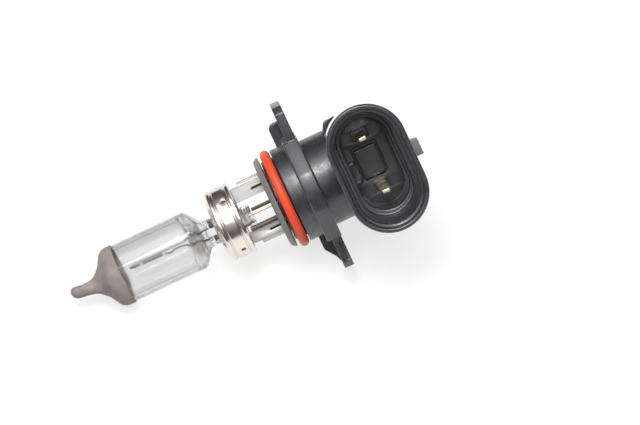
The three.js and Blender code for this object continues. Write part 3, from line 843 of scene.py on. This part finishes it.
def pilot_disc():
    """The disc in front of the sealing ring, with slots for the legs and the leads."""
    r = PILOT_HIGH.z
    edge = arc(0, 0, r, 0, 360, 143)[:-1]
    gap = 0.25
    holes = []
    for node in ("upper_bracket_leg", "lower_bracket_leg"):
        low, high = box_mm(node)
        holes.append(rectangle(low.y - gap, high.y + gap, low.z - gap, high.z + gap, 0.2))
    steel, brass = box_mm("steel_lead_strap"), box_mm("brass_lead_strap")
    holes.append(rectangle(steel[0].y - gap, brass[1].y + gap, steel[0].z - gap, steel[1].z + gap, 0.2))
    low, high = box_mm("lower_lead_rod")
    rod_radius = (high.z - low.z) / 2
    middle = (low + high) / 2
    holes.append(arc(middle.y, middle.z, rod_radius + gap, 0, 360, 24)[:-1])

    def chamfered(p):
        out = math.hypot(p.y, p.z)
        cut = max(0.0, p.x - (PILOT_HIGH.x - 0.5)) * 2.2 if out > 9.3 else 0.0
        return Vector((p.x, p.y * (1 - cut / out), p.z * (1 - cut / out))) if cut else p

    disc = plate([edge, *holes], PILOT_LOW.x, PILOT_HIGH.x, 0.25, along_x, steps=4)
    return moved(disc, chamfered)


def sealing_ring():
    """A round-section ring with the faint parting line of its mould."""
    low, high = box_mm("sealing_ring")
    cord = (high.x - low.x) / 2
    middle = (low.x + high.x) / 2
    centre = high.z - cord
    section = []
    for k in range(36):
        a = 2 * math.pi * k / 36
        r = cord - 0.03 + (0.03 if k in (0, 18) else 0.0)
        section.append((middle + r * math.sin(a), centre + r * math.cos(a)))
    return revolve(section, 160, wrap=True)


def stadium_ring(x, half_x, half_y, z, arc_steps=26):
    straight = half_y - half_x
    ring = arc(0, straight, half_x, 0, 180, arc_steps) + arc(0, -straight, half_x, 180, 360, arc_steps)
    return [Vector((x + u, v, z)) for u, v in ring]


def shroud():
    """The connector shroud as one skin: foot, wall, flared rim, lip, mouth, ledge and well."""
    rim = RIM_TOP
    outer = [
        (-9.8, 6.3, 9.2, 0), (-9.3, 7.3, 10.2, 0), (17.9, 7.6, 13.2, 0), (18.7, 7.9, 13.6, 0),
        (19.4, 8.7, 14.4, 0), (20.2, 8.8, 14.5, 0), (rim - 0.3, 8.75, 14.45, 0), (rim, 8.45, 14.15, 0),
        (rim, 7.95, 13.65, 0), (rim - 0.35, 7.65, 13.35, 0),
    ]
    inner = [
        (rim - 1.1, 7.55, 13.25, 0), (rim - 1.15, 7.1, 12.8, 0), (rim - 1.6, 6.8, 12.5, 0),
        (LEDGE + 0.2, 6.3, 11.8, 0), (LEDGE, 6.05, 11.5, -0.05), (LEDGE, 5.55, 10.8, -0.13),
        (LEDGE - 0.3, 5.3, 10.5, -0.15), (WELL_FLOOR - 0.3, 5.25, 10.45, -0.15),
    ]
    profile = soften(outer + inner, 0.3, 3)
    rings = [stadium_ring(SHROUD_X + p[3], p[1], p[2], p[0]) for p in profile]
    return loft(rings, caps=(True, False))


def socket_floor():
    """The floor of the socket, with a pocket round each blade and round the insert."""
    edge = [(p.x, p.y) for p in stadium_ring(WELL_X, WELL[0] + 0.4, WELL[1] + 0.4, 0)]
    holes = []
    for side in (-1, 1):
        y = side * BLADE["y"]
        holes.append(rectangle(BLADE["x"] - 1.8, BLADE["x"] + 1.8, y - 1.1, y + 1.1, 0.25))
    hx, hy = (h + 0.45 for h in INSERT_HALF)
    holes.append(rectangle(INSERT_X - hx, INSERT_X + hx, -hy, hy, 0.4))
    top = plate([edge, *holes], WELL_FLOOR - 1.2, WELL_FLOOR, 0.12, along_z)
    bottom = plate([edge], WELL_FLOOR - 2.2, WELL_FLOOR - 1.15, 0.1, along_z)
    return merged(top, bottom)


def key_ribs():
    wall = WELL_X + WELL[0]
    ribs = []
    for y in (-1.4, 2.8):
        outline = soften([(wall - 1.6, WELL_FLOOR - 0.5), (wall + 0.4, WELL_FLOOR - 0.5),
                          (wall + 0.4, 8.0), (wall - 1.1, 8.0), (wall - 1.6, 7.4)], 0.2, 3, closed=True)
        ribs.append(plate([outline], -y - 0.4, -y + 0.4, 0.15, along_y))
    return merged(*ribs)


def flange_outline():
    front = arc(0, 0, FLANGE_RADIUS, 70, 110, 10)
    return [(FACET, LUG_HALF), *front, (-FACET, LUG_HALF), (-FACET, -LUG_HALF),
            (-LUG_HALF, -FACET), (LUG_HALF, -FACET), (FACET, -LUG_HALF)]


def lug(turn, reach, notch=False):
    w, corner, root = LUG_HALF, LUG_CORNER, FACET - 4
    outline = [(root, -w), (reach - corner, -w), (reach, corner - w), (reach, w - corner),
               (reach - corner, w), (root, w)]
    rotation = Matrix.Rotation(turn, 2)
    turned = lambda pts: [rotation @ Vector(p) for p in soften(pts, 0.25, 3, closed=True)]
    if not notch:
        return plate([turned(outline)], -LUG_THICK, 0, 0.18, along_x)
    stepped = outline[:5] + [(17.9, w), (17.7, w - 1.2), (13.2, w - 1.2), (13.0, w), (root, w)]
    front = plate([turned(outline)], -0.95, 0, 0.15, along_x)
    back = plate([turned(stepped)], -LUG_THICK, -0.85, 0.15, along_x)
    return merged(front, back)


def lug_ramps():
    upper = [(-0.5, -15.8), (1.7, -15.8), (2.5, -14.9), (2.5, -10), (-0.5, -10)]
    lower = [(-0.5, 10), (2.5, 10), (2.5, 14.9), (0.6, 17.5), (0.1, 18.9), (-0.5, 18.9)]
    ramps = [soften(outline, 0.5, 5, closed=True) for outline in (upper, lower)]
    return merged(*(plate([outline], -5.9, -3.7, 0.2, along_z) for outline in ramps))


def case_and_neck():
    """Spigot, groove, neck and rear case, turned as one open-fronted cup."""
    profile = [
        (CASE_REAR, 0.01), (CASE_REAR, CASE_RADIUS - 0.7), (CASE_REAR + 0.7, CASE_RADIUS),
        (FLANGE_REAR, CASE_RADIUS),
        (FLANGE_REAR + 0.5, NECK_RADIUS), (NECK_FRONT, NECK_RADIUS), (NECK_FRONT, SPIGOT_RADIUS),
        (7.2, SPIGOT_RADIUS), (7.2, BORE_RADIUS), (BORE_FLOOR, BORE_RADIUS), (BORE_FLOOR, 0.01),
    ]
    return revolve([tuple(p) for p in soften(profile, 0.22, 3)], 144)


def latch_nib():
    wall, reach = SHROUD_X - 7.6, HOUSING_LOW.x
    outline = soften([(wall + 1, 10.5), (wall + 1, 15.5), (reach, 15.5), (reach, 14.3),
                      (wall - 0.3, 10.5)], 0.2, 3, closed=True)
    return plate([outline], -1.9, 1.9, 0.2, along_y)


def gusset():
    """A small hooked gusset on the rear corner of the case."""
    outline = soften([(-7.6, -9), (-9.2, -11.8), (-12.1, -12), (-10.2, -10.9), (-9.1, -9.8), (-8.4, -9)],
                     0.3, 3, closed=True)
    return plate([outline], -1, 1, 0.2, along_z)


def base_housing():
    return merged(
        case_and_neck(), plate([soften(flange_outline(), 0.4, 3, closed=True)], FLANGE_REAR, FLANGE_FRONT,
                               0.3, along_x),
        lug(0, LOWER_REACH, notch=True), lug(math.pi, UPPER_REACH), lug(-math.pi / 2, LOWER_REACH),
        lug_ramps(), shroud(), socket_floor(),
        key_ribs(), gusset(),
    )


def lock_insert():
    low, high = box_mm("terminal_lock_insert")
    outline = rectangle(low.x, high.x, low.y, high.y, 0.35, 5)
    return plate([outline], low.z, high.z, 0.18, along_z)


def potting():
    low, high = box_mm("potting_seal")
    profile = soften([(low.x, 0.01), (low.x, high.z), (high.x, high.z), (high.x - 0.35, 0.01)], 0.4, 4)
    return revolve([tuple(p) for p in profile], 96)


# ---------------------------------------------------------------- the pieces

piece("glass_bulb", glass_envelope(), "clear_glass", "glass_envelope", sharp=60)
piece("painted_tip", tip_coating(), "tip_coating", "tip_coating", sharp=60)
piece("coil", filament_coil(), "tungsten", "filament_coil", sharp=80)
piece("long_support_wire", long_support(), "molybdenum", "long_filament_support", sharp=60)
piece("short_support_wire", short_support(), "molybdenum", "short_filament_support", sharp=60)
for side in ("upper", "lower"):
    piece(f"{side}_seal_foil", foil(f"{side}_foil"), "molybdenum", f"{side}_foil")
    piece(f"{side}_lead_wire", round_bar(f"{side}_outer_lead"), "molybdenum", f"{side}_outer_lead")
    piece(f"{side}_leg", bracket_leg(f"{side}_bracket_leg"), "bracket_steel", f"{side}_bracket_leg")
    # painted shade: a dark strip behind each leg's slot
    piece(f"{side}_leg_slot_shade", slot_shade_strip(f"{side}_bracket_leg"), "potting_resin")
    piece(f"{side}_crimp", weld_tab(f"{side}_weld_tab"), "bracket_steel", f"{side}_weld_tab")
    piece(f"{side}_blade", terminal(f"{side}_terminal"), "terminal_brass", f"{side}_terminal")
for side in ("front", "rear"):
    piece(f"{side}_spring", pinch_spring(f"{side}_pinch_spring"), "bracket_steel", f"{side}_pinch_spring")
piece("collar", burner_collar(), "collar_nickel", "burner_collar")
piece("collar_weld_marks", weld_marks(), "dark_steel")
piece("ring_in_collar", bracket_ring(), "bracket_steel", "bracket_ring")
piece("steel_strap", bar("steel_lead_strap"), "dark_steel", "steel_lead_strap")
piece("brass_strap", bar("brass_lead_strap"), "terminal_brass", "brass_lead_strap")
piece("lead_rod", round_bar("lower_lead_rod"), "dark_steel", "lower_lead_rod")
piece("front_disc", pilot_disc(), "grey_plastic", "pilot_disc")
piece("o_ring", sealing_ring(), "seal_rubber", "sealing_ring", sharp=60)
piece("housing", base_housing(), "black_plastic", "base_housing")
piece("latch", latch_nib(), "grey_plastic")
piece("lock_block", lock_insert(), "black_plastic", "terminal_lock_insert")
piece("resin_plug", potting(), "potting_resin", "potting_seal")


# ---------------------------------------------------------------- studio


def resting_plane():
    """The floor touches the painted tip's shoulder and the cut corners of two lugs."""
    corner = LOWER_REACH + LUG_HALF - LUG_CORNER  # distance of a corner cut along (Y, -Z), times root 2
    shoulder_x, shoulder_r = TUBE_FRONT + 1.7, COAT_HIGH.z
    slope = (corner - shoulder_r * math.sqrt(2)) / shoulder_x
    up = Vector((-slope, -1, 1)).normalized()
    lowest = -corner / Vector((-slope, -1, 1)).length
    return up, lowest


UP, FLOOR_LEVEL = resting_plane()


def floor_material():
    material = bpy.data.materials.new("studio_floor")
    n = Nodes(material)
    out = n.add("ShaderNodeOutputMaterial")
    paper = n.add("ShaderNodeBsdfPrincipled", Roughness=0.7)
    n.link(n.ramp(n.noise(60.0), (0.31, 0.31, 0.31), (0.33, 0.33, 0.33)), paper.inputs["Base Color"])
    paper.inputs["Emission Color"].default_value = (1, 1, 1, 1)
    ray = n.add("ShaderNodeLightPath")  # the paper glows less on the bulb than it looks
    glow = n.ramp(ray.outputs["Is Diffuse Ray"], 0.72, 0.06, span=(0, 1))
    n.link(glow, paper.inputs["Emission Strength"])
    clear = n.add("ShaderNodeBsdfTransparent")
    under = n.add("ShaderNodeNewGeometry")
    mix = n.add("ShaderNodeMixShader")
    n.link(under.outputs["Backfacing"], mix.inputs["Fac"])
    n.link(paper.outputs["BSDF"], mix.inputs[1])
    n.link(clear.outputs["BSDF"], mix.inputs[2])
    n.link(mix.outputs["Shader"], out.inputs["Surface"])
    return material


def add_floor():
    side = UP.orthogonal().normalized()
    ahead = UP.cross(side)
    centre = UP * FLOOR_LEVEL * MM
    half = 1.5
    corners = [centre + side * a * half + ahead * b * half for a, b in ((-1, -1), (1, -1), (1, 1), (-1, 1))]
    mesh = bpy.data.meshes.new("floor")
    mesh.from_pydata(corners, [], [(0, 1, 2, 3)])
    mesh.materials.append(floor_material())
    mesh.update()
    if mesh.polygons[0].normal.dot(UP) < 0:
        mesh.flip_normals()
    floor = bpy.data.objects.new("floor", mesh)
    bpy.context.scene.collection.objects.link(floor)
    floor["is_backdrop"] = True


def aim(obj, position, target, up):
    """Points an object's -Z axis at a target, with its Y axis towards up."""
    back = (position - target).normalized()
    right = up.cross(back).normalized()
    turn = Matrix((right, back.cross(right), back)).transposed()
    obj.matrix_world = Matrix.Translation(position) @ turn.to_4x4()


CAM_BACK = Vector((0, -0.144, 0.990)).normalized()  # from the bulb to the camera
CAM_UP = Vector((-0.4226, -0.8965, -0.1308))
CAM_RIGHT = CAM_UP.cross(CAM_BACK).normalized()
CAM_UP = CAM_BACK.cross(CAM_RIGHT)
DISTANCE = 0.555
KEY = Vector((-0.05, -0.6, 0.8)).normalized()  # from the bulb to the soft box overhead


def add_camera():
    data = bpy.data.cameras.new("camera")
    data.lens, data.sensor_width = 140.6, 36
    data.clip_start, data.clip_end = 0.01, 20
    camera = bpy.data.objects.new("camera", data)
    bpy.context.scene.collection.objects.link(camera)
    target = (CAM_RIGHT * 2.73 - CAM_UP * 5.58) * MM
    aim(camera, target + CAM_BACK * DISTANCE, target, CAM_UP)
    bpy.context.scene.camera = camera


def add_light(name, direction, distance, size, radiance):
    """A square soft box that faces the bulb, with an even glow of the given radiance."""
    data = bpy.data.lights.new(name, "AREA")
    data.shape = "SQUARE"
    data.size = size
    data.energy = radiance * math.pi * size**2
    light = bpy.data.objects.new(name, data)
    bpy.context.scene.collection.objects.link(light)
    aim(light, Vector(direction).normalized() * distance, Vector((0, 0, 0)), CAM_UP)


def add_world():
    world = bpy.data.worlds.new("studio")
    world.use_nodes = True
    tree = world.node_tree
    tree.nodes.clear()
    out = tree.nodes.new("ShaderNodeOutputWorld")
    place = tree.nodes.new("ShaderNodeTexCoord")
    height = tree.nodes.new("ShaderNodeVectorMath")
    height.operation = "DOT_PRODUCT"
    height.inputs[1].default_value = KEY
    tree.links.new(place.outputs["Generated"], height.inputs[0])
    ramp = tree.nodes.new("ShaderNodeValToRGB")
    stops = [(0.0, 0.14), (0.35, 0.14), (0.5, 0.07), (0.75, 0.15), (0.9, 0.5), (1.0, 0.8)]
    while len(ramp.color_ramp.elements) < len(stops):
        ramp.color_ramp.elements.new(0.5)
    for element, (position, grey) in zip(ramp.color_ramp.elements, stops):
        element.position = position
        element.color = (grey, grey, grey * 0.98, 1)
    scaled = tree.nodes.new("ShaderNodeMath")
    scaled.operation = "MULTIPLY_ADD"
    scaled.inputs[1].default_value = 0.5
    scaled.inputs[2].default_value = 0.5
    tree.links.new(height.outputs["Value"], scaled.inputs[0])
    tree.links.new(scaled.outputs["Value"], ramp.inputs["Fac"])
    studio = tree.nodes.new("ShaderNodeBackground")
    tree.links.new(ramp.outputs["Color"], studio.inputs["Color"])
    backdrop = tree.nodes.new("ShaderNodeBackground")
    backdrop.inputs["Color"].default_value = (0.95, 0.95, 0.95, 1)
    seen = tree.nodes.new("ShaderNodeLightPath")
    mix = tree.nodes.new("ShaderNodeMixShader")
    tree.links.new(seen.outputs["Is Camera Ray"], mix.inputs["Fac"])
    tree.links.new(studio.outputs["Background"], mix.inputs[1])
    tree.links.new(backdrop.outputs["Background"], mix.inputs[2])
    tree.links.new(mix.outputs["Shader"], out.inputs["Surface"])
    bpy.context.scene.world = world


add_floor()
add_camera()
add_world()
add_light("key_box", KEY, 0.65, 0.8, 1.3)
add_light("key_core", KEY, 0.64, 0.22, 12.0)
bpy.context.scene.view_settings.view_transform = "Standard"

bpy.context.view_layer.update()
as_lists = lambda box: [[float(v) for v in corner] for corner in box]
{"cad": as_lists(CAD_BOX), "visual": as_lists(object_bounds())}
